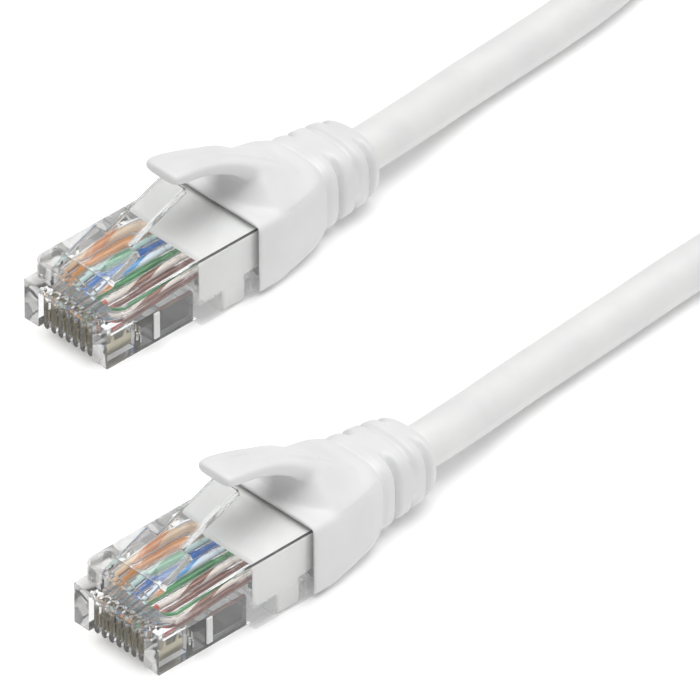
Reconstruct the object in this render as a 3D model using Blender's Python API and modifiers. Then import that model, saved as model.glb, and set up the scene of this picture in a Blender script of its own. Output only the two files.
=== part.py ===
"""Ethernet patch cable: two clear eight-way modular plugs with moulded boots on one round cord.

Both plugs lie side by side on the ground with their noses towards -X. The cord leaves the two
boots, runs along the ground and is stored beyond them in a round coil two layers high.
Every dimension is in millimetres, and MM turns it into metres.
In a plug's own frame X runs from the nose to the rear, Y across it and Z up from the ground.
"""

import math

import bmesh
import bpy
from mathutils import Matrix, Vector

MM = 0.001

# Where the two plugs stand: the nose of each, in the object's frame.
PLUG_PLACES = {"a": (-4.8, 19.35), "b": (-34.5, -19.35)}

# Clear plug housing.
PLUG_HALF_WIDTH = 5.84
PLUG_TOP = 7.8
NOSE_UNDERSIDE = 1.2
NOSE_SHELF = 5.9
NOSE_SETBACK = 1.0
REAR_BLOCK_START = 12.3
PLUG_LENGTH = 21.5
INNER_HALF_WIDTH = 5.0
HOUSING_EDGE = 0.15

# Eight ways side by side: slots, contacts and wires share one pitch.
WAYS = 8
WAY_PITCH = 1.02
SLOT_WIDTH = 0.5
SLOT_END = 4.6
SLOT_TOP = 4.8
FIN_SETBACK = 0.3
CONTACT_THICKNESS = 0.35
WIRE_DIAMETER = 0.9
WIRE_NOSE_HEIGHT = 4.55
WIRE_REAR_HEIGHT = 5.2
WIRE_START = 1.5
WIRE_END = 12.4

# Crimp tabs and the moulding that grips the cord inside the plug.
STRAIN_RECESS = (7.3, 11.8)
JACKET_WINDOW = (15.6, 18.7)
REAR_CAVITY_START = 12.4
REAR_CAVITY_HEIGHTS = (2.4, 7.0)
SUMP_HEIGHTS = (0.6, 3.0)
MOULD_START = 12.7
MOULD_END = 21.0
FIT_GAP = 0.3

# Latch: a flat spring arm over the plug.
LATCH_PIVOT = (2.6, 8.35)
LATCH_SLOPE = math.radians(21.3)
LATCH_THICKNESS = 0.8
LATCH_HALF_WIDTH = 3.1
LATCH_HANDLE_HALF_WIDTH = 1.63
LATCH_SHOULDER = 4.7
LATCH_LENGTH = 12.9

# Boot and the thumb hood on it.
BOOT_FRONT = 19.9
BOOT_END = 39.3
BOOT_HALF_WIDTH = 6.5
BOOT_HEIGHT = 8.45
BOOT_POCKET_END = 21.8
BOOT_AXIS_HEIGHT = 4.25
BORE_RADIUS = 2.7
GROOVE_WIDTH = 0.8
GROOVE_FLOOR_RADIUS = 3.55
GROOVE_HALF_ANGLE = math.radians(62)
HOOD_PIVOT = (27.0, 9.75)

# Cord and its coil.
CORD_DIAMETER = 4.8
CORD_POINT_SPACING = 2.4 * CORD_DIAMETER
COIL_CENTRE = (112.0, 0.6)
COIL_INNER_RADIUS = 11.4
COIL_OUTER_RADIUS = 37.3
COIL_HEIGHT = 9.7

# Routes of the two free runs in the object's frame, from inside each boot to the coil.
CORD_ROUTES = {
    "a": [
        (16.8, 19.35, 4.25),
        (25.0, 19.35, 4.25),
        (34.5, 19.35, 4.25),
        (40.2, 19.95, 3.9),
        (45.2, 20.85, 3.3),
        (50.7, 21.8, 2.75),
        (57.2, 22.5, 2.45),
        (65.2, 23.1, 2.4),
        (72.5, 24.0, 2.4),
        (80.5, 25.9, 2.4),
    ],
    "b": [
        (-12.9, -19.35, 4.25),
        (-4.0, -19.35, 4.25),
        (4.8, -19.35, 4.25),
        (10.5, -18.75, 3.9),
        (15.5, -17.85, 3.3),
        (21.0, -16.9, 2.75),
        (27.5, -16.2, 2.45),
        (35.5, -15.6, 2.4),
        (47.3, -14.8, 2.4),
        (55.0, -14.7, 2.4),
        (62.5, -15.4, 2.5),
        (70.2, -17.2, 3.2),
        (76.5, -19.4, 4.35),
    ],
}

WIRE_COLOURS = {
    "white_orange": (0.85, 0.52, 0.30),
    "orange": (0.80, 0.28, 0.05),
    "white_green": (0.62, 0.80, 0.62),
    "blue": (0.04, 0.22, 0.60),
    "white_blue": (0.55, 0.70, 0.90),
    "green": (0.05, 0.38, 0.12),
    "white_brown": (0.72, 0.50, 0.42),
    "brown": (0.25, 0.10, 0.06),
}

PARTS = "ethernet_patch_cable"
CUTTERS = "cutters"


# ---- Scene and object helpers ---------------------------------------------------------------

def clear_scene():
    """Remove every object and make the two collections."""
    for obj in list(bpy.data.objects):
        bpy.data.objects.remove(obj)
    for name in (PARTS, CUTTERS):
        collection = bpy.data.collections.new(name)
        bpy.context.scene.collection.children.link(collection)


def make_material(name, colour, roughness, metallic=0.0, alpha=1.0):
    """Make one Principled BSDF material."""
    material = bpy.data.materials.new(name)
    material.use_nodes = True
    shader = material.node_tree.nodes["Principled BSDF"]
    shader.inputs["Base Color"].default_value = (*colour, 1.0)
    shader.inputs["Roughness"].default_value = roughness
    shader.inputs["Metallic"].default_value = metallic
    shader.inputs["Alpha"].default_value = alpha
    return material


def add_object(name, data, parent=None, pivot=(0.0, 0.0, 0.0), cutter=False):
    """Link an object; its data is shifted so that its origin lies on the pivot."""
    if any(pivot):
        data.transform(Matrix.Translation(-Vector(pivot) * MM))
    obj = bpy.data.objects.new(name, data)
    obj.location = Vector(pivot) * MM
    obj.parent = parent
    bpy.data.collections[CUTTERS if cutter else PARTS].objects.link(obj)
    if cutter:
        obj.hide_render = True
        obj.display_type = "WIRE"
    return obj


def finish_piece(obj, material, smooth_angle=None):
    """Give a piece its material, and smooth shading where it is round."""
    if not obj.data.materials:
        obj.data.materials.append(material)
    obj.material_slots[0].link = "OBJECT"
    obj.material_slots[0].material = material
    if smooth_angle is not None:
        obj.data.shade_smooth()
        obj.data.set_sharp_from_angle(angle=math.radians(smooth_angle))


def mesh_from_bmesh(name, shape):
    """Turn a bmesh into a mesh with its faces pointing out."""
    bmesh.ops.recalc_face_normals(shape, faces=shape.faces)
    mesh = bpy.data.meshes.new(name)
    shape.to_mesh(mesh)
    shape.free()
    return mesh


def boxes_mesh(name, boxes):
    """Make separate boxes, each given by its (low, high) range along X, Y and Z."""
    shape = bmesh.new()
    for ranges in boxes:
        low = Vector([span[0] for span in ranges]) * MM
        high = Vector([span[1] for span in ranges]) * MM
        place = Matrix.Translation((low + high) / 2) @ Matrix.Diagonal((*(high - low), 1.0))
        bmesh.ops.create_cube(shape, size=1.0, matrix=place)
    return mesh_from_bmesh(name, shape)


def mesh_from_curve(name, curve, turn=None):
    """Evaluate a curve to a welded mesh, turned into place."""
    obj = bpy.data.objects.new(name, curve)
    bpy.data.collections[PARTS].objects.link(obj)
    bpy.context.view_layer.update()
    graph = bpy.context.evaluated_depsgraph_get()
    mesh = bpy.data.meshes.new_from_object(obj.evaluated_get(graph))
    bpy.data.objects.remove(obj)
    shape = bmesh.new()
    shape.from_mesh(mesh)
    bpy.data.meshes.remove(mesh)
    bmesh.ops.remove_doubles(shape, verts=shape.verts, dist=0.00001)
    bmesh.ops.dissolve_limit(shape, angle_limit=0.001, verts=shape.verts, edges=shape.edges)
    if turn is not None:
        bmesh.ops.transform(shape, matrix=turn, verts=shape.verts)
    return mesh_from_bmesh(name, shape)


def outline_mesh(name, outline, thickness, turn):
    """Extrude a flat closed outline to a thickness, centred on its plane."""
    curve = bpy.data.curves.new(name, "CURVE")
    curve.dimensions = "2D"
    curve.fill_mode = "BOTH"
    curve.extrude = thickness / 2 * MM
    spline = curve.splines.new("POLY")
    spline.points.add(len(outline) - 1)
    for point, (across, up) in zip(spline.points, outline):
        point.co = (across * MM, up * MM, 0.0, 1.0)
    spline.use_cyclic_u = True
    return mesh_from_curve(name, curve, turn)


def side_outline_mesh(name, outline, half_width, centre_y=0.0):
    """Extrude an outline of (x, z) points across a plug."""
    turn = Matrix.Translation((0.0, centre_y * MM, 0.0)) @ Matrix.Rotation(math.pi / 2, 4, "X")
    return outline_mesh(name, outline, 2 * half_width, turn)


def tube_curve(name, points, diameter, sides_resolution):
    """Make a closed round tube along points."""
    curve = bpy.data.curves.new(name, "CURVE")
    curve.dimensions = "3D"
    curve.bevel_depth = diameter / 2 * MM
    curve.bevel_resolution = sides_resolution
    curve.use_fill_caps = True
    spline = curve.splines.new("POLY")
    spline.points.add(len(points) - 1)
    for point, place in zip(spline.points, points):
        point.co = (*(Vector(place) * MM), 1.0)
    return curve


def loft_mesh(name, rings):
    """Skin closed rings of equally many points, and close both ends."""
    shape = bmesh.new()
    layers = [[shape.verts.new(Vector(point) * MM) for point in ring] for ring in rings]
    count = len(layers[0])
    for low, high in zip(layers, layers[1:]):
        for i in range(count):
            j = (i + 1) % count
            shape.faces.new((low[i], low[j], high[j], high[i]))
    shape.faces.new(layers[0])
    shape.faces.new(layers[-1])
    return mesh_from_bmesh(name, shape)


def superellipse_ring(x, half_width, z_low, z_high, squareness, count):
    """Points of a rounded-square section across a plug; a higher squareness is squarer."""
    middle = (z_low + z_high) / 2
    half_height = (z_high - z_low) / 2
    ring = []
    for i in range(count):
        angle = 2 * math.pi * (i + 0.5) / count
        across = math.copysign(abs(math.cos(angle)) ** (2 / squareness), math.cos(angle))
        up = math.copysign(abs(math.sin(angle)) ** (2 / squareness), math.sin(angle))
        ring.append((x, half_width * across, middle + half_height * up))
    return ring


def add_bevel(obj, width, segments=2):
    bevel = obj.modifiers.new("rounded_edges", "BEVEL")
    bevel.width = width * MM
    bevel.segments = segments
    bevel.limit_method = "ANGLE"
    bevel.angle_limit = math.radians(40)


def cut(obj, mesh, parent):
    """Cut a mesh out of an object with an exact Boolean."""
    cutter = add_object(mesh.name, mesh, parent, cutter=True)
    boolean = obj.modifiers.new(mesh.name, "BOOLEAN")
    boolean.operation = "DIFFERENCE"
    boolean.solver = "EXACT"
    boolean.object = cutter


def smooth_path(route, spacing):
    """Points at an even spacing on a Catmull-Rom curve through the route's points."""
    places = [Vector(place) for place in route]
    places = [2 * places[0] - places[1]] + places + [2 * places[-1] - places[-2]]
    fine = []
    steps = 24
    for p0, p1, p2, p3 in zip(places, places[1:], places[2:], places[3:]):
        for step in range(steps):
            t = step / steps
            fine.append(0.5 * (2 * p1 + (p2 - p0) * t + (2 * p0 - 5 * p1 + 4 * p2 - p3) * t ** 2
                               + (3 * p1 - 3 * p2 + p3 - p0) * t ** 3))
    fine.append(places[-2])
    total = sum((b - a).length for a, b in zip(fine, fine[1:]))
    gaps = max(1, round(total / spacing))
    points = [fine[0]]
    travelled = 0.0
    for a, b in zip(fine, fine[1:]):
        travelled += (b - a).length
        if travelled >= total * len(points) / gaps and len(points) < gaps:
            points.append(b)
    points.append(fine[-1])
    return points


def way_offset(way):
    """Y of a way in the plug; way 1 is on the +Y side."""
    return ((WAYS - 1) / 2 - (way - 1)) * WAY_PITCH


# ---- Pieces of one plug ---------------------------------------------------------------------

def add_housing(tag, plug, material):
    """Clear housing: side outline, rounded, then slots, wire channel, cavity and crimp openings."""
    outline = [
        (0.0, NOSE_UNDERSIDE),
        (REAR_BLOCK_START - 0.35, NOSE_UNDERSIDE),
        (REAR_BLOCK_START, NOSE_UNDERSIDE - 0.35),
        (REAR_BLOCK_START, 0.3),
        (REAR_BLOCK_START + 0.3, 0.0),
        (PLUG_LENGTH, 0.0),
        (PLUG_LENGTH, PLUG_TOP),
        (NOSE_SETBACK, PLUG_TOP),
        (NOSE_SETBACK, NOSE_SHELF),
        (0.0, NOSE_SHELF),
    ]
    mesh = side_outline_mesh(f"housing_{tag}", outline, PLUG_HALF_WIDTH)
    housing = add_object(f"housing_{tag}", mesh, plug)
    add_bevel(housing, HOUSING_EDGE)

    half_slot = SLOT_WIDTH / 2
    below = -1.0
    ahead = -1.0
    slots = []
    for way in range(1, WAYS + 1):
        y = way_offset(way)
        slots.append(((ahead, SLOT_END), (y - half_slot, y + half_slot), (below, SLOT_TOP)))
    cut(housing, boxes_mesh(f"slot_cutter_{tag}", slots), plug)

    fin_half_span = way_offset(1) + 0.5 * half_slot
    fins = ((ahead, FIN_SETBACK), (-fin_half_span, fin_half_span), (below, SLOT_TOP))
    cut(housing, boxes_mesh(f"fin_cutter_{tag}", [fins]), plug)

    channel = [(1.2, 3.98), (1.2, 5.15), (8.0, 5.35), (12.7, 6.0), (12.7, 3.98)]
    cut(housing, side_outline_mesh(f"channel_cutter_{tag}", channel, 4.15), plug)

    inner = (-INNER_HALF_WIDTH, INNER_HALF_WIDTH)
    cavity = ((REAR_CAVITY_START, PLUG_LENGTH + 1), inner, REAR_CAVITY_HEIGHTS)
    cut(housing, boxes_mesh(f"cavity_cutter_{tag}", [cavity]), plug)

    sump = ((JACKET_WINDOW[1] + 0.5, PLUG_LENGTH + 1), inner, SUMP_HEIGHTS)
    cut(housing, boxes_mesh(f"sump_cutter_{tag}", [sump]), plug)

    openings = [
        ((5.0, 6.4), inner, (below, 3.4)),
        (STRAIN_RECESS, inner, (below, 4.2)),
        (JACKET_WINDOW, inner, (below, 3.0)),
    ]
    cut(housing, boxes_mesh(f"crimp_opening_cutter_{tag}", openings), plug)
    finish_piece(housing, material)


def add_latch(tag, plug, material):
    """Latch arm: a wide spring root, two shoulders and a narrow handle, sloping up to the rear."""
    wide = LATCH_HALF_WIDTH
    narrow = LATCH_HANDLE_HALF_WIDTH
    outline = [
        (0.0, -wide),
        (LATCH_SHOULDER, -wide),
        (LATCH_SHOULDER, -narrow),
        (LATCH_LENGTH, -narrow),
        (LATCH_LENGTH, narrow),
        (LATCH_SHOULDER, narrow),
        (LATCH_SHOULDER, wide),
        (0.0, wide),
    ]
    pivot = (LATCH_PIVOT[0], 0.0, LATCH_PIVOT[1])
    turn = Matrix.Translation(Vector(pivot) * MM) @ Matrix.Rotation(-LATCH_SLOPE, 4, "Y")
    mesh = outline_mesh(f"latch_{tag}", outline, LATCH_THICKNESS, turn)
    latch = add_object(f"latch_{tag}", mesh, plug, pivot)
    add_bevel(latch, 0.18)
    finish_piece(latch, material)


def add_strain_relief_bar(tag, plug, material):
    """The tab that is crimped down on the eight wires."""
    outline = [
        (STRAIN_RECESS[0] + FIT_GAP, 1.5),
        (STRAIN_RECESS[1] - FIT_GAP, 1.5),
        (STRAIN_RECESS[1] - FIT_GAP, 3.1),
        (STRAIN_RECESS[1] - 1.1, 3.8),
        (STRAIN_RECESS[0] + 0.9, 3.8),
        (STRAIN_RECESS[0] + FIT_GAP, 3.3),
    ]
    half_width = INNER_HALF_WIDTH - FIT_GAP
    mesh = side_outline_mesh(f"strain_relief_bar_{tag}", outline, half_width)
    bar = add_object(f"strain_relief_bar_{tag}", mesh, plug)
    finish_piece(bar, material)


def add_inner_mould(tag, plug, material):
    """White moulding around the split cord, with a leg down through the crimp window."""
    leg_front = JACKET_WINDOW[0] + FIT_GAP
    leg_rear = JACKET_WINDOW[1] - FIT_GAP
    outline = [
        (MOULD_START, 3.4),
        (MOULD_START + 0.6, 2.7),
        (leg_front, 2.7),
        (leg_front, 0.25),
        (leg_rear, 0.25),
        (leg_rear, 2.7),
        (MOULD_END, 2.7),
        (MOULD_END, 6.7),
        (MOULD_START + 0.6, 6.7),
        (MOULD_START, 6.3),
    ]
    half_width = INNER_HALF_WIDTH - FIT_GAP
    mesh = side_outline_mesh(f"inner_mould_{tag}", outline, half_width)
    mould = add_object(f"inner_mould_{tag}", mesh, plug)
    add_bevel(mould, 0.2)
    finish_piece(mould, material)


def contact_outline():
    """Side shape of a contact blade: a broad foot and two points that pierce the wire."""
    return [
        (0.75, 1.75),
        (4.2, 1.75),
        (4.2, 3.0),
        (3.7, 3.0),
        (3.5, 3.85),
        (3.2, 3.0),
        (2.1, 3.0),
        (1.9, 3.85),
        (1.6, 3.0),
        (0.75, 3.0),
    ]


def wire_path():
    """Centreline of a wire, from its cut end in the nose back to the moulding."""
    stretch = WIRE_END - WIRE_START
    points = []
    for step in range(6):
        share = step / 5
        ease = share * share * (3 - 2 * share)
        height = WIRE_NOSE_HEIGHT + (WIRE_REAR_HEIGHT - WIRE_NOSE_HEIGHT) * ease
        points.append((WIRE_START + stretch * share, 0.0, height))
    return points


def add_boot(tag, plug, material):
    """Boot: a squared sleeve that tapers into a grooved, flexible tail."""
    sections = [
        (BOOT_FRONT, BOOT_HALF_WIDTH, 0.0, BOOT_HEIGHT, 9.0),
        (22.4, BOOT_HALF_WIDTH, 0.0, BOOT_HEIGHT, 9.0),
        (24.0, 6.35, 0.0, 8.55, 7.0),
        (26.0, 6.05, 0.05, 8.75, 5.5),
        (28.0, 5.75, 0.1, 8.9, 4.4),
        (30.0, 5.35, 0.1, 8.75, 3.7),
        (32.0, 5.05, 0.15, 8.45, 3.3),
        (34.8, 4.7, 0.4, 8.15, 3.0),
        (37.2, 4.45, 0.55, 7.95, 3.0),
        (38.6, 4.15, 0.8, 7.7, 2.8),
        (BOOT_END, 3.5, 1.3, 7.2, 2.4),
    ]
    rings = [superellipse_ring(*section, 28) for section in sections]
    boot = add_object(f"boot_{tag}", loft_mesh(f"boot_{tag}", rings), plug)

    clearance = PLUG_HALF_WIDTH + 0.2
    pocket = ((BOOT_FRONT - 1, BOOT_POCKET_END), (-clearance, clearance), (-1.0, PLUG_TOP + 0.2))
    cut(boot, boxes_mesh(f"pocket_cutter_{tag}", [pocket]), plug)

    bore = tube_curve(
        f"bore_cutter_{tag}",
        [(BOOT_FRONT - 1, 0.0, BOOT_AXIS_HEIGHT), (BOOT_END + 1, 0.0, BOOT_AXIS_HEIGHT)],
        2 * BORE_RADIUS,
        3,
    )
    cut(boot, mesh_from_curve(f"bore_cutter_{tag}", bore), plug)

    for number, (x, facing) in enumerate([(30.7, 90), (32.7, 0), (34.8, 90), (36.8, 0)]):
        for side in (0, 180):
            middle = math.radians(facing + side)
            name = f"groove_cutter_{number}_{side}_{tag}"
            cut(boot, groove_mesh(name, x, middle), plug)
    finish_piece(boot, material, smooth_angle=35)


def groove_mesh(name, x, middle):
    """A sector of a thick ring about the boot's axis: one flex groove."""
    rings = []
    steps = 8
    front = x - GROOVE_WIDTH / 2
    rear = x + GROOVE_WIDTH / 2
    outer_radius = 8.0
    for step in range(steps + 1):
        angle = middle + GROOVE_HALF_ANGLE * (2 * step / steps - 1)
        ring = []
        for place, radius in ((front, GROOVE_FLOOR_RADIUS), (rear, GROOVE_FLOOR_RADIUS),
                              (rear, outer_radius), (front, outer_radius)):
            y = radius * math.cos(angle)
            z = BOOT_AXIS_HEIGHT + radius * math.sin(angle)
            ring.append((place, y, z))
        rings.append(ring)
    return loft_mesh(name, rings)


def add_boot_hood(tag, plug, material):
    """Thumb hood: a springy tongue from the boot's top out over the latch."""
    sections = [
        (12.6, 1.6, 14.85, 15.55, 2.6),
        (12.9, 2.15, 14.6, 15.78, 3.2),
        (14.2, 2.25, 14.3, 15.65, 4.0),
        (16.7, 2.1, 13.75, 15.05, 4.0),
        (19.2, 2.0, 12.9, 14.2, 4.0),
        (21.6, 2.2, 11.95, 13.25, 4.0),
        (23.7, 2.6, 10.75, 12.0, 4.0),
        (25.8, 3.3, 9.55, 10.75, 4.0),
        (27.2, 3.9, 9.3, 9.9, 3.0),
    ]
    rings = [superellipse_ring(*section, 20) for section in sections]
    pivot = (HOOD_PIVOT[0], 0.0, HOOD_PIVOT[1])
    hood = add_object(f"boot_hood_{tag}", loft_mesh(f"boot_hood_{tag}", rings), plug, pivot)
    finish_piece(hood, material, smooth_angle=50)


def add_ways(tag, plug, contact_mesh, wire_mesh, materials):
    """Eight contacts and eight wires, in the order of their colours."""
    for way, colour in enumerate(WIRE_COLOURS, start=1):
        contact = add_object(f"contact_{way}_{tag}", contact_mesh, plug)
        contact.location.y = way_offset(way) * MM
        finish_piece(contact, materials["contact_gold"])
        wire = add_object(f"wire_{way}_{colour}_{tag}", wire_mesh, plug)
        wire.location.y = way_offset(way) * MM
        finish_piece(wire, materials[f"wire_{colour}"], smooth_angle=50)


# ---- Cord -----------------------------------------------------------------------------------

def add_cord_run(tag, material):
    """One free run of the cord, from inside its boot to just short of the coil."""
    points = smooth_path(CORD_ROUTES[tag], CORD_POINT_SPACING)
    name = f"cord_run_{tag}"
    run = add_object(name, tube_curve(name, points, CORD_DIAMETER, 3))
    run.data.materials.append(material)


def add_cord_coil(material):
    """The stored length of cord: a flat ring as thick as two layers of turns."""
    corner = 1.2
    profile = [
        (COIL_OUTER_RADIUS - corner, COIL_HEIGHT),
        (COIL_OUTER_RADIUS, COIL_HEIGHT - corner),
        (COIL_OUTER_RADIUS, corner),
        (COIL_OUTER_RADIUS - corner, 0.0),
        (COIL_INNER_RADIUS + corner, 0.0),
        (COIL_INNER_RADIUS, corner),
        (COIL_INNER_RADIUS, COIL_HEIGHT - corner),
        (COIL_INNER_RADIUS + corner, COIL_HEIGHT),
    ]
    shape = bmesh.new()
    verts = [shape.verts.new((radius * MM, 0.0, height * MM)) for radius, height in profile]
    for start, end in zip(verts, verts[1:] + verts[:1]):
        shape.edges.new((start, end))
    mesh = bpy.data.meshes.new("cord_coil")
    shape.to_mesh(mesh)
    shape.free()
    mesh.materials.append(material)
    coil = add_object("cord_coil", mesh)
    coil.location = (COIL_CENTRE[0] * MM, COIL_CENTRE[1] * MM, 0.0)
    turn = coil.modifiers.new("turned_ring", "SCREW")
    turn.angle = 2 * math.pi
    turn.steps = 40
    turn.render_steps = 40
    turn.use_merge_vertices = True
    turn.merge_threshold = 0.00001
    turn.use_normal_calculate = True


def main():
    clear_scene()
    materials = {
        "clear_plastic": make_material("clear_plastic", (0.80, 0.82, 0.82), 0.08, alpha=0.35),
        "boot_pvc": make_material("boot_pvc", (0.80, 0.80, 0.79), 0.45),
        "cord_jacket": make_material("cord_jacket", (0.78, 0.78, 0.77), 0.42),
        "inner_mould": make_material("inner_mould", (0.86, 0.86, 0.84), 0.5),
        "contact_gold": make_material("contact_gold", (0.85, 0.62, 0.25), 0.25, metallic=1.0),
    }
    for colour, rgb in WIRE_COLOURS.items():
        materials[f"wire_{colour}"] = make_material(f"wire_{colour}", rgb, 0.4)

    contact_mesh = side_outline_mesh("contact", contact_outline(), CONTACT_THICKNESS / 2)
    wire_mesh = mesh_from_curve("wire", tube_curve("wire", wire_path(), WIRE_DIAMETER, 2))
    for tag, (x, y) in PLUG_PLACES.items():
        plug = bpy.data.objects.new(f"plug_{tag}", None)
        bpy.data.collections[PARTS].objects.link(plug)
        plug.location = (x * MM, y * MM, 0.0)
        add_housing(tag, plug, materials["clear_plastic"])
        add_latch(tag, plug, materials["clear_plastic"])
        add_strain_relief_bar(tag, plug, materials["clear_plastic"])
        add_inner_mould(tag, plug, materials["inner_mould"])
        add_boot(tag, plug, materials["boot_pvc"])
        add_boot_hood(tag, plug, materials["boot_pvc"])
        add_ways(tag, plug, contact_mesh, wire_mesh, materials)
        add_cord_run(tag, materials["cord_jacket"])
    add_cord_coil(materials["cord_jacket"])


main()
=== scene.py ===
"""Looks of the ethernet patch cable: clear plugs, coloured wires, moulded boots and one cord."""

import math

import bmesh
import bpy
from mathutils import Matrix, Vector


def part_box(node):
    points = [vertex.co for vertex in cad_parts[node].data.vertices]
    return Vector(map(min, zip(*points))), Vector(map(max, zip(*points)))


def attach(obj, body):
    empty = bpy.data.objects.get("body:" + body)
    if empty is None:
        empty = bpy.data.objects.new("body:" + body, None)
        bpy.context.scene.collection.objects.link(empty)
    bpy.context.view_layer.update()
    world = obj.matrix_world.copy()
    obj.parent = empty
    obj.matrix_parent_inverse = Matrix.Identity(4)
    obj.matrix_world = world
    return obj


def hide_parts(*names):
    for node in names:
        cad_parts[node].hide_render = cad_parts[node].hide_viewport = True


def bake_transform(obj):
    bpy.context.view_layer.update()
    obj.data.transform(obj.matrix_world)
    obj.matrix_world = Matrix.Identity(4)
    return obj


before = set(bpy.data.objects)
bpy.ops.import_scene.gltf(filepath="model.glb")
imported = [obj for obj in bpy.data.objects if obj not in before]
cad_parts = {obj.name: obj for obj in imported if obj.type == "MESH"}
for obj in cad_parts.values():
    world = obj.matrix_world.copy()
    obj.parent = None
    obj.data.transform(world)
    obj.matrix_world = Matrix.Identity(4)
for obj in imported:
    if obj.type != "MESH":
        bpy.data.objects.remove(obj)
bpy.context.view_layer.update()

MM = 0.001
TAGS = ("a", "b")

# Where each plug's nose stands, read from the frame.
PLUG_PLACES = {}
for tag in TAGS:
    low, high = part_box(f"housing_{tag}")
    PLUG_PLACES[tag] = Vector((low[0], (low[1] + high[1]) / 2, 0.0))


# ---- Camera ---------------------------------------------------------------------------------

CAMERA_TARGET = Vector((11.7, -3.15, 4.0)) * MM
CAMERA_BACK = Vector((-0.556, -0.579, 0.596)).normalized()
CAMERA_LENS = 1000.0
SENSOR = 36.0
VIEW_WIDTH = 67.5 * MM

camera_data = bpy.data.cameras.new("camera")
camera_data.lens = CAMERA_LENS
camera_data.sensor_width = SENSOR
camera_data.clip_end = 20.0
camera = bpy.data.objects.new("camera", camera_data)
bpy.context.scene.collection.objects.link(camera)
camera.location = CAMERA_TARGET + CAMERA_BACK * (VIEW_WIDTH * CAMERA_LENS / SENSOR)
camera.rotation_euler = CAMERA_BACK.to_track_quat("Z", "Y").to_euler()
bpy.context.scene.camera = camera
bpy.context.scene.view_settings.view_transform = "Standard"


# ---- Cord -----------------------------------------------------------------------------------

CORD_DIAMETER = 0.0048

# The free runs, from inside each boot to the coil; the same route as the CAD tubes.
RUN_A = [
    (0.0168, 0.01935, 0.00425),
    (0.0250, 0.01935, 0.00425),
    (0.0345, 0.01935, 0.00425),
    (0.0402, 0.01995, 0.0039),
    (0.0452, 0.02085, 0.0033),
    (0.0507, 0.0218, 0.00275),
    (0.0572, 0.0225, 0.00245),
    (0.0652, 0.0231, 0.0024),
    (0.0725, 0.0240, 0.0024),
    (0.0805, 0.0259, 0.0024),
    (0.0885, 0.0284, 0.0024),
]
RUN_B = [
    (-0.0129, -0.01935, 0.00425),
    (-0.0040, -0.01935, 0.00425),
    (0.0048, -0.01935, 0.00425),
    (0.0105, -0.01875, 0.0039),
    (0.0155, -0.01785, 0.0033),
    (0.0210, -0.0169, 0.00275),
    (0.0275, -0.0162, 0.00245),
    (0.0355, -0.0156, 0.0024),
    (0.0473, -0.0148, 0.0024),
    (0.0550, -0.0147, 0.0024),
    (0.0625, -0.0154, 0.0025),
    (0.0702, -0.0172, 0.0032),
    (0.0765, -0.0194, 0.00435),
    (0.0840, -0.0230, 0.0061),
]

COIL_CENTRE = (0.1120, 0.0006)
COIL_RADIUS = 0.0348
COIL_PITCH = 0.00481
COIL_LAYERS = (0.0024, 0.00726)
# Directions of the coil's two ends from its centre, in degrees, with nearly nine turns between.
COIL_START = 116
COIL_END = 232
COIL_TURNS = 9 + (COIL_START - COIL_END) / 360
COIL_POINTS_PER_TURN = 16
# Share of a turn over which the cord climbs to the upper layer.
COIL_RISE = 0.4


def coil_points():
    """Two layers of turns: inwards along the lower one, a step up, and outwards on the upper one."""
    count = round(COIL_TURNS * COIL_POINTS_PER_TURN)
    points = []
    for i in range(count + 1):
        turn = COIL_TURNS * i / count
        inward = min(turn, COIL_TURNS - turn)
        radius = COIL_RADIUS - COIL_PITCH * inward
        angle = math.radians(COIL_START) - 2 * math.pi * turn
        climb = min(1.0, max(0.0, (turn - COIL_TURNS / 2) / COIL_RISE + 0.5))
        climb = climb * climb * (3 - 2 * climb)
        points.append((
            COIL_CENTRE[0] + radius * math.cos(angle),
            COIL_CENTRE[1] + radius * math.sin(angle),
            COIL_LAYERS[0] + (COIL_LAYERS[1] - COIL_LAYERS[0]) * climb,
        ))
    return points


def make_cord():
    """One curve from inside boot a, through the coil, to inside boot b."""
    points = RUN_A + coil_points() + RUN_B[::-1]
    curve = bpy.data.curves.new("patch_cord", "CURVE")
    curve.dimensions = "3D"
    curve.bevel_depth = 1.0
    curve.bevel_resolution = 7
    curve.resolution_u = 8
    curve.use_fill_caps = True
    spline = curve.splines.new("BEZIER")
    spline.bezier_points.add(len(points) - 1)
    for knot, place in zip(spline.bezier_points, points):
        knot.co = place
        knot.radius = CORD_DIAMETER / 2
        knot.handle_left_type = "AUTO"
        knot.handle_right_type = "AUTO"
    cord = bpy.data.objects.new("patch_cord", curve)
    bpy.context.scene.collection.objects.link(cord)
    return cord


cord = make_cord()
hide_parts("cord_run_a", "cord_run_b", "cord_coil")
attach(cord, "root")


# ---- Materials ------------------------------------------------------------------------------

def principled(name, roughness, **sockets):
    """A new Principled material; other sockets are given by name with underscores for spaces."""
    material = bpy.data.materials.new(name)
    material.use_nodes = True
    shader = material.node_tree.nodes["Principled BSDF"]
    shader.inputs["Roughness"].default_value = roughness
    for socket, value in sockets.items():
        shader.inputs[socket.replace("_", " ")].default_value = value
    return material, shader


def add_noise(material, scale, detail, stretch=(1.0, 1.0, 1.0)):
    """Noise in the object's own coordinates, scale in cycles per metre."""
    nodes = material.node_tree.nodes
    links = material.node_tree.links
    place = nodes.new("ShaderNodeTexCoord")
    mapping = nodes.new("ShaderNodeMapping")
    mapping.inputs["Scale"].default_value = stretch
    noise = nodes.new("ShaderNodeTexNoise")
    noise.inputs["Scale"].default_value = scale
    noise.inputs["Detail"].default_value = detail
    links.new(place.outputs["Object"], mapping.inputs["Vector"])
    links.new(mapping.outputs["Vector"], noise.inputs["Vector"])
    return noise.outputs["Fac"]


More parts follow.
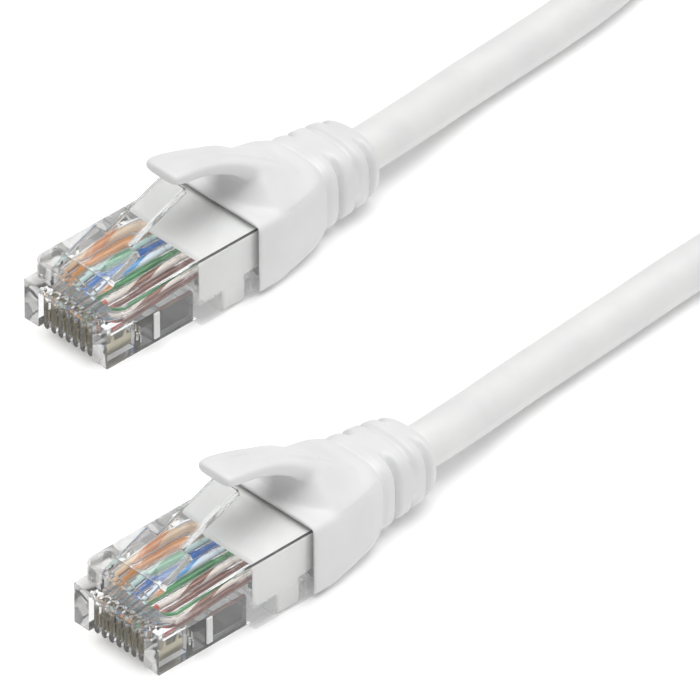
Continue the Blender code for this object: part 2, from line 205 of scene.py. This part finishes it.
def vary_colour(material, shader, value, colour_a, colour_b):
    """Blend the base colour between two tones over the middle of a value's 0 to 1 range."""
    ramp = material.node_tree.nodes.new("ShaderNodeValToRGB")
    for stop, position, colour in zip(ramp.color_ramp.elements, (0.35, 0.65), (colour_a, colour_b)):
        stop.position = position
        stop.color = (*colour, 1.0)
    material.node_tree.links.new(value, ramp.inputs["Fac"])
    material.node_tree.links.new(ramp.outputs["Color"], shader.inputs["Base Color"])


def vary_roughness(material, shader, value, low, high):
    """Map a value from 0..1 to a range of roughness."""
    span = material.node_tree.nodes.new("ShaderNodeMapRange")
    span.inputs["To Min"].default_value = low
    span.inputs["To Max"].default_value = high
    material.node_tree.links.new(value, span.inputs["Value"])
    material.node_tree.links.new(span.outputs["Result"], shader.inputs["Roughness"])


def add_bump(material, shader, value, strength, distance):
    """Raise the surface by a value, distance being the full height in metres."""
    bump = material.node_tree.nodes.new("ShaderNodeBump")
    bump.inputs["Strength"].default_value = strength
    bump.inputs["Distance"].default_value = distance
    material.node_tree.links.new(value, bump.inputs["Height"])
    material.node_tree.links.new(bump.outputs["Normal"], shader.inputs["Normal"])


def let_light_through(material, shader, share):
    """Let this share of lamp light and of light bounced off matt surfaces pass straight through."""
    nodes = material.node_tree.nodes
    links = material.node_tree.links
    path = nodes.new("ShaderNodeLightPath")
    either = nodes.new("ShaderNodeMath")
    either.operation = "MAXIMUM"
    links.new(path.outputs["Is Shadow Ray"], either.inputs[0])
    links.new(path.outputs["Is Diffuse Ray"], either.inputs[1])
    scale = nodes.new("ShaderNodeMath")
    scale.operation = "MULTIPLY"
    scale.inputs[1].default_value = share
    links.new(either.outputs["Value"], scale.inputs[0])
    passing = nodes.new("ShaderNodeBsdfTransparent")
    mix = nodes.new("ShaderNodeMixShader")
    links.new(scale.outputs["Value"], mix.inputs["Fac"])
    links.new(shader.outputs["BSDF"], mix.inputs[1])
    links.new(passing.outputs["BSDF"], mix.inputs[2])
    links.new(mix.outputs["Shader"], nodes["Material Output"].inputs["Surface"])


def clear_plastic(name, tone_a, tone_b):
    """Clear plastic with faint flow marks and a trace of milkiness."""
    material, shader = principled(name, 0.04, Transmission_Weight=0.965, IOR=1.42)
    flow = add_noise(material, 260.0, 3.0, (0.5, 1.0, 1.0))
    vary_colour(material, shader, flow, tone_a, tone_b)
    vary_roughness(material, shader, flow, 0.01, 0.06)
    add_bump(material, shader, flow, 0.12, 0.0001)
    let_light_through(material, shader, 0.85)
    return material


def soft_pvc(name, tone_a, tone_b, roughness, spread=0.06):
    """White flexible PVC: an even moulded skin with a fine grain, and light spreading inside it."""
    material, shader = principled(name, roughness, Subsurface_Weight=spread)
    shader.inputs["Subsurface Radius"].default_value = (0.0012, 0.0011, 0.001)
    broad = add_noise(material, 180.0, 3.0)
    vary_colour(material, shader, broad, tone_a, tone_b)
    vary_roughness(material, shader, broad, roughness - 0.06, roughness + 0.08)
    grain = add_noise(material, 5200.0, 2.0)
    add_bump(material, shader, grain, 0.25, 0.00002)
    return material


def gold():
    """Gold plating with fine brushed lines along the blade."""
    material, shader = principled("contact_gold", 0.25, Metallic=1.0)
    lines = add_noise(material, 2500.0, 3.0, (0.15, 1.0, 1.0))
    vary_colour(material, shader, lines, (0.36, 0.32, 0.21), (0.52, 0.47, 0.32))
    vary_roughness(material, shader, lines, 0.26, 0.42)
    add_bump(material, shader, lines, 0.2, 0.00001)
    return material


def insulation(name, dark, light):
    """Smooth glossy insulation in two close tones."""
    material, shader = principled(name, 0.28, Coat_Weight=0.5)
    mottle = add_noise(material, 900.0, 3.0, (0.3, 1.0, 1.0))
    vary_colour(material, shader, mottle, dark, light)
    vary_roughness(material, shader, mottle, 0.2, 0.34)
    add_bump(material, shader, mottle, 0.15, 0.00002)
    return material


CLEAR = clear_plastic("clear_plastic", (0.97, 0.98, 0.98), (1.0, 1.0, 1.0))
# Painted shade: a near-black tone of clear plastic for the recesses' side walls, standing in for the
# shade inside the recesses.
CLEAR_PAINTED_SHADE = clear_plastic("clear_plastic_painted_shade", (0.05, 0.05, 0.05), (0.10, 0.10, 0.10))
BOOT_PVC = soft_pvc("boot_pvc", (0.76, 0.76, 0.76), (0.80, 0.80, 0.80), 0.42)
CORD_PVC = soft_pvc("cord_jacket", (0.77, 0.77, 0.77), (0.82, 0.82, 0.81), 0.4)
MOULD_WHITE = soft_pvc("inner_mould", (0.80, 0.80, 0.79), (0.85, 0.85, 0.84), 0.6, 0.6)
GOLD = gold()
# Insulation in the order of the ways: darker and lighter tone, and the stripe's tone if it has one.
WIRE_TONES = {
    "white_orange": ((0.58, 0.40, 0.24), (0.70, 0.53, 0.36), (0.60, 0.20, 0.03)),
    "orange": ((0.44, 0.14, 0.01), (0.60, 0.23, 0.03), None),
    "white_green": ((0.46, 0.64, 0.60), (0.60, 0.76, 0.72), (0.06, 0.34, 0.16)),
    "blue": ((0.01, 0.09, 0.36), (0.02, 0.17, 0.52), None),
    "white_blue": ((0.68, 0.80, 0.92), (0.80, 0.88, 0.95), (0.10, 0.38, 0.78)),
    "green": ((0.005, 0.14, 0.03), (0.02, 0.26, 0.06), None),
    "white_brown": ((0.70, 0.62, 0.56), (0.80, 0.74, 0.70), (0.22, 0.08, 0.04)),
    "brown": ((0.10, 0.03, 0.02), (0.19, 0.065, 0.04), None),
}
cord.data.materials.append(CORD_PVC)


# ---- Mesh helpers (millimetres in a plug's own frame) ---------------------------------------

def object_from(shape, name):
    """Turn a bmesh in millimetres into a linked object in metres with faces pointing out."""
    bmesh.ops.recalc_face_normals(shape, faces=shape.faces)
    bmesh.ops.scale(shape, vec=(MM, MM, MM), verts=shape.verts)
    mesh = bpy.data.meshes.new(name)
    shape.to_mesh(mesh)
    shape.free()
    obj = bpy.data.objects.new(name, mesh)
    bpy.context.scene.collection.objects.link(obj)
    return obj


def loft(name, rings):
    """Skin closed rings and close both ends."""
    shape = bmesh.new()
    layers = [[shape.verts.new(point) for point in ring] for ring in rings]
    count = len(layers[0])
    for low_ring, high_ring in zip(layers, layers[1:]):
        for i in range(count):
            j = (i + 1) % count
            shape.faces.new((low_ring[i], low_ring[j], high_ring[j], high_ring[i]))
    shape.faces.new(layers[0])
    shape.faces.new(layers[-1])
    return object_from(shape, name)


def side_prism(name, outline, y_low, y_high):
    """An outline of (x, z) points carried across the plug."""
    return loft(name, [[(x, y, z) for x, z in outline] for y in (y_low, y_high)])


def plan_prism(name, outline, z_low, z_high):
    """An outline of (x, y) points carried upwards."""
    return loft(name, [[(x, y, z) for x, y in outline] for z in (z_low, z_high)])


def front_prism(name, outline, x_low, x_high):
    """An outline of (y, z) points carried along the plug."""
    return loft(name, [[(x, y, z) for y, z in outline] for x in (x_low, x_high)])


def block(name, x_span, y_span, z_span):
    """A box from its spans along the three axes."""
    outline = [
        (x_span[0], z_span[0]),
        (x_span[1], z_span[0]),
        (x_span[1], z_span[1]),
        (x_span[0], z_span[1]),
    ]
    return side_prism(name, outline, *y_span)


def freeze(obj):
    """Apply an object's modifiers to its mesh."""
    bpy.context.view_layer.update()
    graph = bpy.context.evaluated_depsgraph_get()
    mesh = bpy.data.meshes.new_from_object(obj.evaluated_get(graph))
    obj.modifiers.clear()
    obj.data = mesh


def bevel(obj, width, angle=40):
    """Round the edges sharper than an angle in degrees, width in millimetres."""
    modifier = obj.modifiers.new("bevel", "BEVEL")
    modifier.width = width * MM
    modifier.segments = 3
    modifier.limit_method = "ANGLE"
    modifier.angle_limit = math.radians(angle)
    freeze(obj)


def combine(obj, other, operation):
    """Boolean another object into or out of one, and remove the other."""
    modifier = obj.modifiers.new("combine", "BOOLEAN")
    modifier.operation = operation
    modifier.solver = "EXACT"
    modifier.object = other
    freeze(obj)
    bpy.data.objects.remove(other)


def shade(obj, angle):
    """Shade smooth but for edges sharper than an angle in degrees."""
    obj.data.shade_smooth()
    obj.data.set_sharp_from_angle(angle=math.radians(angle))


def superellipse_ring(x, half_width, z_low, z_high, squareness, count):
    """Points of a rounded-square section; a higher squareness is squarer."""
    middle = (z_low + z_high) / 2
    half_height = (z_high - z_low) / 2
    ring = []
    for i in range(count):
        angle = 2 * math.pi * (i + 0.5) / count
        across = math.copysign(abs(math.cos(angle)) ** (2 / squareness), math.cos(angle))
        up = math.copysign(abs(math.sin(angle)) ** (2 / squareness), math.sin(angle))
        ring.append((x, half_width * across, middle + half_height * up))
    return ring


def smooth_sections(sections, steps):
    """Catmull-Rom interpolation between rows of section values."""
    rows = [sections[0]] + list(sections) + [sections[-1]]
    result = []
    for p0, p1, p2, p3 in zip(rows, rows[1:], rows[2:], rows[3:]):
        for step in range(steps):
            t = step / steps
            result.append(tuple(
                0.5 * (2 * b + (c - a) * t + (2 * a - 5 * b + 4 * c - d) * t * t
                       + (3 * b - 3 * c + d - a) * t ** 3)
                for a, b, c, d in zip(p0, p1, p2, p3)
            ))
    result.append(tuple(sections[-1]))
    return result


def place_copy(template, name, tag):
    """A copy of a template's mesh at one plug, with its mesh in the frame's own coordinates."""
    mesh = template.data.copy()
    mesh.transform(Matrix.Translation(PLUG_PLACES[tag]))
    obj = bpy.data.objects.new(f"{name}_{tag}", mesh)
    bpy.context.scene.collection.objects.link(obj)
    return obj


# ---- Clear plug shell -----------------------------------------------------------------------

# Outside: the nose is set back above a shelf, and the rear block starts at a step underneath.
HALF_WIDTH = 5.84
TOP = 7.8
NOSE_BOTTOM = 1.2
SHELF = 5.9
SETBACK = 1.0
NOSE_CORNER_RADIUS = 1.3
STEP_X = 12.3
STEP_CHAMFER = 0.35
HEEL_CHAMFER = 0.3
LENGTH = 21.5

# Contact bay, with a slot for each way: X where it ends and its height, behind and at the front.
WAYS = 8
PITCH = 1.02
BAY_HALF_WIDTH = 3.82
BAY_STEPS = ((4.6, 4.02), (0.8, 5.3))
FIN_START = 0.3
FIN_HALF_WIDTH = 0.35

# Wire bay: X and height of the wires' centres along it, its floor, and a furrow over each wire.
CHANNEL_CENTRES = ((1.45, 4.55), (5.0, 4.62), (9.0, 4.95), (12.6, 5.2))
CHANNEL_HALF_WIDTH = 4.1
CHANNEL_FLOOR = 3.98
FURROW_HALF_WIDTH = 0.5
FURROW_HEIGHT = 0.52

# Recesses from below, and the cavity and sump that open at the rear: spans in X and heights.
INNER = 5.0
FRONT_RECESS = ((5.0, 6.4), (-1.0, 3.4))
WIRE_RECESS = ((7.3, 11.8), (-1.0, 4.2))
JACKET_WINDOW = ((15.6, 18.7), (-1.0, 3.0))
CAVITY_HALF_WIDTH = 5.4
CAVITY = ((12.4, LENGTH + 1), (2.4, 7.4))
SUMP = ((19.2, LENGTH + 1), (0.6, 3.0))

# Latch: an arm with a wide root and a narrow handle, along the slope from its pivot.
LATCH_PIVOT = (2.6, 8.35)
LATCH_SLOPE = math.radians(21.3)
LATCH_THICKNESS = 0.9
LATCH_HALF_WIDTH = 3.1
HANDLE_HALF_WIDTH = 1.63
LATCH_START = -1.2
LATCH_SHOULDER = 4.7
LATCH_LENGTH = 12.9


def way_offset(way):
    """Y of way 1 to 8, way 1 on the +Y side."""
    return ((WAYS - 1) / 2 - (way - 1)) * PITCH


def add_fins(shell):
    """Clear out the contact bay and stand seven fins with round feet in it."""
    for depth, top in BAY_STEPS:
        bay = block("bay", (-1.0, depth), (-BAY_HALF_WIDTH, BAY_HALF_WIDTH), (-1.0, top))
        combine(shell, bay, "DIFFERENCE")
    half = FIN_HALF_WIDTH
    overlap = 0.05
    for i in range(WAYS - 1):
        middle = (i - (WAYS - 2) / 2) * PITCH
        outline = []
        for step in range(7):
            angle = math.pi + math.pi * step / 6
            outline.append((middle + half * math.cos(angle), NOSE_BOTTOM + half * (1 + math.sin(angle))))
        for depth, top in BAY_STEPS:
            shape = outline + [(middle + half, top + overlap), (middle - half, top + overlap)]
            combine(shell, front_prism("fin", shape, FIN_START, depth + overlap), "UNION")


def round_nose_corners(shell):
    """Round the two vertical corners of the set-back upper nose."""
    radius = NOSE_CORNER_RADIUS
    front = SETBACK - 0.6
    outside = HALF_WIDTH + 0.66
    for side in (-1, 1):
        arc = []
        for step in range(9):
            angle = math.pi - math.pi / 2 * step / 8
            arc.append((SETBACK + radius + radius * math.cos(angle),
                        side * (HALF_WIDTH - radius + radius * math.sin(angle))))
        outline = [(front, side * (HALF_WIDTH - radius))] + arc
        outline += [(SETBACK + radius, side * outside), (front, side * outside)]
        corner = plan_prism("corner", outline, SHELF, TOP + 0.5)
        combine(shell, corner, "DIFFERENCE")


def latch_arm():
    """The latch: wide root, shoulders and handle, with a thick fillet where it leaves the plug."""
    edge = [(LATCH_START, LATCH_HALF_WIDTH), (LATCH_SHOULDER, LATCH_HALF_WIDTH),
            (LATCH_SHOULDER, HANDLE_HALF_WIDTH), (LATCH_LENGTH, HANDLE_HALF_WIDTH)]
    outline = [(x, -y) for x, y in edge] + edge[::-1]
    arm = plan_prism("arm", outline, -LATCH_THICKNESS / 2, LATCH_THICKNESS / 2)
    bevel(arm, 0.16)
    turn = Matrix.Translation(Vector((LATCH_PIVOT[0], 0.0, LATCH_PIVOT[1])) * MM)
    arm.data.transform(turn @ Matrix.Rotation(-LATCH_SLOPE, 4, "Y"))
    root = [(1.15, 7.0), (1.15, 7.85), (1.5, 8.2), (2.2, 8.6), (3.2, 8.95), (4.0, 8.75),
            (3.7, 8.25), (3.5, 7.95), (3.45, 7.0)]
    combine(arm, side_prism("root", root, -LATCH_HALF_WIDTH, LATCH_HALF_WIDTH), "UNION")
    return arm


def wire_channels():
    """Cutter for the wire bay: a flat floor and one round furrow over each wire."""
    rings = []
    for x, centre in CHANNEL_CENTRES:
        ring = [(x, -CHANNEL_HALF_WIDTH, CHANNEL_FLOOR), (x, CHANNEL_HALF_WIDTH, CHANNEL_FLOOR)]
        for way in range(1, WAYS + 1):
            for step in range(9):
                angle = math.pi * (0.06 + 0.88 * step / 8)
                y = way_offset(way) + FURROW_HALF_WIDTH * math.cos(angle)
                ring.append((x, y, centre + FURROW_HEIGHT * math.sin(angle)))
        rings.append(ring)
    return loft("channels", rings)


def make_shell():
    """Template of the clear housing and its latch."""
    outline = [
        (0.0, NOSE_BOTTOM),
        (STEP_X - STEP_CHAMFER, NOSE_BOTTOM),
        (STEP_X, NOSE_BOTTOM - STEP_CHAMFER),
        (STEP_X, HEEL_CHAMFER),
        (STEP_X + HEEL_CHAMFER, 0.0),
        (LENGTH, 0.0),
        (LENGTH, TOP),
        (SETBACK, TOP),
        (SETBACK, SHELF),
        (0.0, SHELF),
    ]
    shell = side_prism("shell", outline, -HALF_WIDTH, HALF_WIDTH)
    round_nose_corners(shell)
    bevel(shell, 0.22, 50)
    combine(shell, latch_arm(), "UNION")
    add_fins(shell)
    combine(shell, wire_channels(), "DIFFERENCE")
    hollows = [
        (CAVITY_HALF_WIDTH, CAVITY),
        (CAVITY_HALF_WIDTH, SUMP),
        (INNER, FRONT_RECESS),
        (INNER, WIRE_RECESS),
        (INNER, JACKET_WINDOW),
    ]
    for half_width, (x_span, z_span) in hollows:
        combine(shell, block("hollow", x_span, (-half_width, half_width), z_span), "DIFFERENCE")
    shell.data.materials.append(CLEAR)
    # Painted shade: the side walls of the front and wire recesses take the dark tone, so that the
    # recesses look shaded.
    shell.data.materials.append(CLEAR_PAINTED_SHADE)
    for face in shell.data.polygons:
        x, y, z = face.center / MM
        on_side_wall = INNER - 0.05 < abs(y) < INNER + 0.05
        along = FRONT_RECESS[0][0] < x < WIRE_RECESS[0][1]
        if on_side_wall and along and z < WIRE_RECESS[1][1]:
            face.material_index = 1
    shade(shell, 35)
    return shell


shell_template = make_shell()
for tag in TAGS:
    shell = place_copy(shell_template, "plug_shell", tag)
    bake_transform(shell)
    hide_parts(f"housing_{tag}", f"latch_{tag}")
bpy.data.objects.remove(shell_template)


# ---- Boot and hood --------------------------------------------------------------------------

# Sections of boot and hood: X, half-width, lowest and highest Z, squareness.
BOOT_SECTIONS = [
    (19.9, 6.5, 0.0, 8.45, 9.0),
    (22.4, 6.5, 0.0, 8.45, 9.0),
    (24.0, 6.35, 0.0, 8.5, 7.0),
    (26.0, 6.05, 0.05, 8.6, 6.0),
    (28.0, 5.7, 0.1, 8.75, 5.2),
    (29.2, 5.35, 0.1, 8.85, 4.6),
    (30.0, 5.0, 0.1, 8.85, 4.0),
    (30.6, 4.75, 0.15, 8.8, 3.7),
    (32.5, 4.5, 0.25, 8.65, 3.4),
    (34.8, 4.42, 0.35, 8.45, 3.2),
    (36.8, 4.3, 0.5, 8.2, 3.0),
    (37.8, 4.1, 0.7, 7.95, 2.9),
    (38.5, 3.75, 1.0, 7.55, 2.6),
    (38.8, 3.3, 1.4, 7.1, 2.4),
]
HOOD_SECTIONS = [
    (12.6, 1.7, 14.75, 15.6, 3.0),
    (12.9, 2.2, 14.55, 15.78, 4.0),
    (14.2, 2.28, 14.25, 15.65, 5.0),
    (16.7, 2.1, 13.6, 15.05, 5.0),
    (19.2, 2.0, 12.55, 14.2, 5.0),
    (21.6, 2.25, 11.1, 13.2, 4.5),
    (23.7, 2.6, 8.6, 11.95, 4.0),
    (25.6, 3.0, 7.8, 10.75, 3.4),
    (27.2, 3.4, 7.4, 9.7, 3.0),
    (28.6, 3.6, 7.4, 8.95, 3.0),
    (29.6, 3.4, 7.4, 8.6, 3.0),
]
# The ramp that carries the hood: X, half-width at the foot, half-width at the crest, crest height.
RAMP_SECTIONS = [
    (21.0, 3.2, 1.0, 8.4),
    (21.8, 4.8, 1.4, 9.2),
    (22.6, 5.5, 1.8, 10.5),
    (23.4, 5.85, 2.0, 11.6),
    (24.4, 5.9, 2.2, 11.3),
    (25.6, 5.75, 2.3, 10.6),
    (27.2, 5.4, 2.5, 9.7),
    (28.6, 5.0, 2.6, 9.0),
    (29.8, 4.6, 2.6, 8.6),
]
RAMP_FOOT = 8.15
BOOT_AXIS = 4.25
BORE_RADIUS = 2.6
# Room for the plug inside the boot: span in X, half-width and height.
POCKET = ((18.0, 21.8), 6.04, 8.0)
VOXEL_SIZE = 0.16
# The rings: X of the sharp lip, side it faces in degrees, reach each way in degrees, depth.
GROOVES = [(30.5, 90, 400, 0.32), (32.4, 0, 70, 0.95), (34.7, 90, 86, 0.6), (36.7, 0, 72, 0.85)]
# The stretch of the boot that the rings are on, and the least radius they are sunk to.
TAIL_SPAN = (30.0, 38.4)
GROOVE_FLOOR_RADIUS = 3.05
# Stretches over which the softening of the hood's root comes in and fades out, in X and in Z.
ROOT_ALONG = ((21.4, 23.0), (28.5, 30.2))
ROOT_UP = ((8.0, 8.6), (11.0, 12.6))
# The low rib on top of the hood: its height, its lowest Z, the Y of its middle, where its flank
# falls to nothing beside that, and the stretches in X over which it comes in and fades out.
RIB_HEIGHT = 0.16
RIB_LOWEST = 9.2
RIB_MIDDLE = -0.15
RIB_FLANK = (0.55, 0.95)
RIB_ALONG = ((13.5, 16.0), (26.0, 29.0))


def ease(low, high, value):
    """Smooth step from 0 to 1 between two values."""
    share = min(1.0, max(0.0, (value - low) / (high - low)))
    return share * share * (3 - 2 * share)


def fade(stretches, value):
    """1 between two stretches, eased to 0 over each of them."""
    rise, fall = stretches
    return ease(*rise, value) * (1.0 - ease(*fall, value))


def ramp_ring(x, foot, crest, top):
    """Section with a flat crest and straight flanks out to the boot's top."""
    half = []
    for step in range(17):
        y = foot * step / 16
        fall = 1.0 - max(0.0, (y - crest) / (foot - crest))
        half.append((y, RAMP_FOOT + (top - RAMP_FOOT) * fall))
    ring = [(x, -y, z) for y, z in reversed(half)] + [(x, y, z) for y, z in half[1:]]
    ring += [(x, foot, RAMP_FOOT - 0.8), (x, -foot, RAMP_FOOT - 0.8)]
    return ring


def groove_depth(x, angle):
    """How far the boot's skin is drawn in: a sharp lip, then a gentle rise to the next ring."""
    deepest = 0.0
    for lip, facing, reach, depth in GROOVES:
        along = fade(((-0.05, 0.13), (0.25, 1.1)), x - lip)
        off = abs((angle - facing + 90.0) % 180.0 - 90.0)
        around = 1.0 - ease(reach - 30.0, reach, off)
        deepest = max(deepest, depth * along * around)
    return deepest


def draw_rings(boot):
    """Sink the grooves between the strain-relief rings and raise the rib along the hood."""
    for vertex in boot.data.vertices:
        x, y, z = vertex.co / MM
        height = z - BOOT_AXIS
        radius = math.hypot(y, height)
        if TAIL_SPAN[0] < x < TAIL_SPAN[1] and radius > GROOVE_FLOOR_RADIUS:
            depth = groove_depth(x, math.degrees(math.atan2(height, y)))
            shrink = (radius - min(depth, radius - GROOVE_FLOOR_RADIUS)) / radius
            vertex.co.y = y * shrink * MM
            vertex.co.z = (BOOT_AXIS + height * shrink) * MM
        elif x < TAIL_SPAN[0] and z > RIB_LOWEST and vertex.normal.z > 0.6:
            rib = 1.0 - ease(*RIB_FLANK, abs(y - RIB_MIDDLE))
            vertex.co.z += RIB_HEIGHT * rib * fade(RIB_ALONG, x) * MM


def make_boot():
    """Template of the boot and hood, melted into one soft moulding."""
    boot = loft("boot", [superellipse_ring(*row, 64) for row in smooth_sections(BOOT_SECTIONS, 4)])
    hood = loft("hood", [superellipse_ring(*row, 48) for row in smooth_sections(HOOD_SECTIONS, 4)])
    ramp = loft("ramp", [ramp_ring(*row) for row in smooth_sections(RAMP_SECTIONS, 3)])
    combine(boot, hood, "UNION")
    combine(boot, ramp, "UNION")
    pocket_span, pocket_half, pocket_top = POCKET
    pocket = block("pocket", pocket_span, (-pocket_half, pocket_half), (-1.0, pocket_top))
    combine(boot, pocket, "DIFFERENCE")
    bore = []
    for degrees in range(0, 360, 10):
        angle = math.radians(degrees)
        bore.append((BORE_RADIUS * math.cos(angle), BOOT_AXIS + BORE_RADIUS * math.sin(angle)))
    combine(boot, front_prism("bore", bore, pocket_span[0], BOOT_SECTIONS[-1][0] + 2.2), "DIFFERENCE")
    remesh = boot.modifiers.new("remesh", "REMESH")
    remesh.mode = "VOXEL"
    remesh.voxel_size = VOXEL_SIZE * MM
    relax = boot.modifiers.new("relax", "SMOOTH")
    relax.factor = 0.5
    relax.iterations = 5
    freeze(boot)
    melt = boot.vertex_groups.new(name="hood_root")
    for vertex in boot.data.vertices:
        x, _, z = vertex.co / MM
        weight = fade(ROOT_ALONG, x) * fade(ROOT_UP, z)
        if weight > 0.0:
            melt.add([vertex.index], weight, "REPLACE")
    fillet = boot.modifiers.new("fillet", "SMOOTH")
    fillet.factor = 0.5
    fillet.iterations = 60
    fillet.vertex_group = melt.name
    freeze(boot)
    boot.vertex_groups.clear()
    draw_rings(boot)
    boot.data.shade_smooth()
    return boot


boot_template = make_boot()
for tag in TAGS:
    boot = place_copy(boot_template, "boot_cover", tag)
    boot.data.materials.clear()
    boot.data.materials.append(BOOT_PVC)
    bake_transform(boot)
    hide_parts(f"boot_{tag}", f"boot_hood_{tag}")
bpy.data.objects.remove(boot_template)


# ---- Wires, contacts and inner pieces -------------------------------------------------------

WIRE_RADIUS = 0.45
WIRE_START = 1.75
WIRE_END = 12.5
WIRE_NOSE_HEIGHT = 4.55
WIRE_RISE = 0.65
WIRE_STEPS = 60
WIRE_SIDES = 24
# Length of wire in one turn of a stripe, share of the way round that it covers, and red tips' end.
STRIPE_PITCH = 9.0
STRIPE_SHARE = 0.34
RED_TIP_END = 3.0


def wire_centre(x):
    """Height of the wires' centreline at a distance from the nose."""
    share = (x - WIRE_START) / (WIRE_END - WIRE_START)
    return WIRE_NOSE_HEIGHT + WIRE_RISE * share * share * (3 - 2 * share)


def wire_rod(y):
    """A round rod along the wires' centreline, its front end slightly rounded."""
    stations = [(WIRE_START, 0.86 * WIRE_RADIUS), (WIRE_START + 0.05, WIRE_RADIUS)]
    for step in range(1, WIRE_STEPS + 1):
        stations.append((WIRE_START + (WIRE_END - WIRE_START) * step / WIRE_STEPS, WIRE_RADIUS))
    angles = [2 * math.pi * i / WIRE_SIDES for i in range(WIRE_SIDES)]
    rings = []
    for x, radius in stations:
        z = wire_centre(x)
        rings.append([(x, y + radius * math.cos(a), z + radius * math.sin(a)) for a in angles])
    return loft("wire", rings)


def redden_tip(wire, material):
    """Give a wire's front end a second material."""
    wire.data.materials.append(material)
    last_slot = len(wire.data.materials) - 1
    for face in wire.data.polygons:
        if face.center.x / MM < RED_TIP_END:
            face.material_index = last_slot


def paint_stripe(wire, y, material):
    """Give a second material to a band that winds slowly round the wire."""
    wire.data.materials.append(material)
    for face in wire.data.polygons:
        x, across, up = face.center / MM
        angle = math.atan2(up - wire_centre(x), across - y)
        phase = (angle / (2 * math.pi) + x / STRIPE_PITCH) % 1.0
        if phase < STRIPE_SHARE:
            face.material_index = 1


for way, (colour, (dark, light, stripe)) in enumerate(WIRE_TONES.items(), start=1):
    y = way_offset(way)
    template = wire_rod(y)
    template.data.materials.append(insulation(f"wire_{colour}", dark, light))
    if stripe:
        tint = tuple(0.8 * channel for channel in stripe)
        paint_stripe(template, y, insulation(f"stripe_{colour}", tint, stripe))
    if colour in ("brown", "white_brown"):
        redden_tip(template, insulation(f"tip_{colour}", (0.36, 0.03, 0.02), (0.5, 0.06, 0.04)))
    shade(template, 50)
    for tag in TAGS:
        wire = place_copy(template, f"insulation_{way}_{colour}", tag)
        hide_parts(f"wire_{way}_{colour}_{tag}")
        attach(wire, "root")
    bpy.data.objects.remove(template)


MOULD_HALF_WIDTH = 5.36
MOULD_TOP = 7.36
MOULD_START = 12.55
MOULD_END = 21.2
# The moulding's leg in the window under the plug: its span in X and its foot.
LEG_SPAN = (15.75, 18.55)
LEG_FOOT = 0.15
# A white opaque rib in a side wall, between the two recesses, as a painted highlight of the bright bar
# there: spans in X, Y and Z.
PAINTED_HIGHLIGHT_RIB = ((6.5, 7.2), (5.15, 5.55), (1.4, 4.4))


def make_mould():
    """Template of the white moulding round the split cord."""
    leg_front, leg_rear = LEG_SPAN
    outline = [(MOULD_START, 3.2), (13.1, 2.45), (leg_front, 2.45), (leg_front, LEG_FOOT),
               (leg_rear, LEG_FOOT), (leg_rear, 2.9), (MOULD_END, 3.1), (MOULD_END, MOULD_TOP),
               (13.0, MOULD_TOP), (MOULD_START, 6.9)]
    mould = side_prism("mould", outline, -MOULD_HALF_WIDTH, MOULD_HALF_WIDTH)
    bevel(mould, 0.25)
    shade(mould, 35)
    return mould


mould_template = make_mould()
mould_template.data.materials.append(MOULD_WHITE)
for tag in TAGS:
    mould = place_copy(mould_template, "cord_moulding", tag)
    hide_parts(f"inner_mould_{tag}")
    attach(mould, "root")
bpy.data.objects.remove(mould_template)

# Painted highlight: a white rib set into each side wall, where the bar between the recesses only catches
# light.
for side, word in ((1, "far"), (-1, "near")):
    x_span, y_span, z_span = PAINTED_HIGHLIGHT_RIB
    rib_template = block("rib", x_span, sorted(side * y for y in y_span), z_span)
    bevel(rib_template, 0.08)
    rib_template.data.materials.append(MOULD_WHITE)
    for tag in TAGS:
        rib = place_copy(rib_template, f"frosted_rib_{word}", tag)
        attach(rib, "root")
    bpy.data.objects.remove(rib_template)

# The contacts and crimp bars keep their own shapes and only take a finish.
for name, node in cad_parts.items():
    if name.startswith("contact_"):
        material = GOLD
    elif name.startswith("strain_relief_bar"):
        material = CLEAR
    else:
        continue
    for material_slot in node.material_slots:
        material_slot.material = material


# ---- Studio ---------------------------------------------------------------------------------

SOFTBOX_PLACE = (0.06, -0.05, 1.04)
SOFTBOX_SIZE = 1.0
SOFTBOX_POWER = 10.7
WORLD_STRENGTH = 0.34


def make_floor():
    """A wide, nearly white floor that gives off a little light, so that it comes out white."""
    material, shader = principled("floor_white", 0.8, Specular_IOR_Level=0.1, Emission_Strength=0.12)
    paper = add_noise(material, 6.0, 2.0)
    vary_colour(material, shader, paper, (0.93, 0.93, 0.93), (0.95, 0.95, 0.95))
    bpy.ops.mesh.primitive_plane_add(size=8.0, location=(0.0, 0.0, 0.0))
    floor = bpy.context.object
    floor.name = "floor"
    floor.data.materials.append(material)


def add_softbox():
    """A square lamp above the plugs, facing the frame's origin."""
    light = bpy.data.lights.new("top_softbox", "AREA")
    light.shape = "SQUARE"
    light.size = SOFTBOX_SIZE
    light.energy = SOFTBOX_POWER
    softbox = bpy.data.objects.new("top_softbox", light)
    bpy.context.scene.collection.objects.link(softbox)
    softbox.location = SOFTBOX_PLACE
    softbox.rotation_euler = Vector(SOFTBOX_PLACE).to_track_quat("Z", "Y").to_euler()


def light_world():
    """An even white surrounding."""
    world = bpy.data.worlds.new("studio")
    world.use_nodes = True
    background = world.node_tree.nodes["Background"]
    background.inputs["Color"].default_value = (1.0, 1.0, 1.0, 1.0)
    background.inputs["Strength"].default_value = WORLD_STRENGTH
    bpy.context.scene.world = world


make_floor()
add_softbox()
light_world()
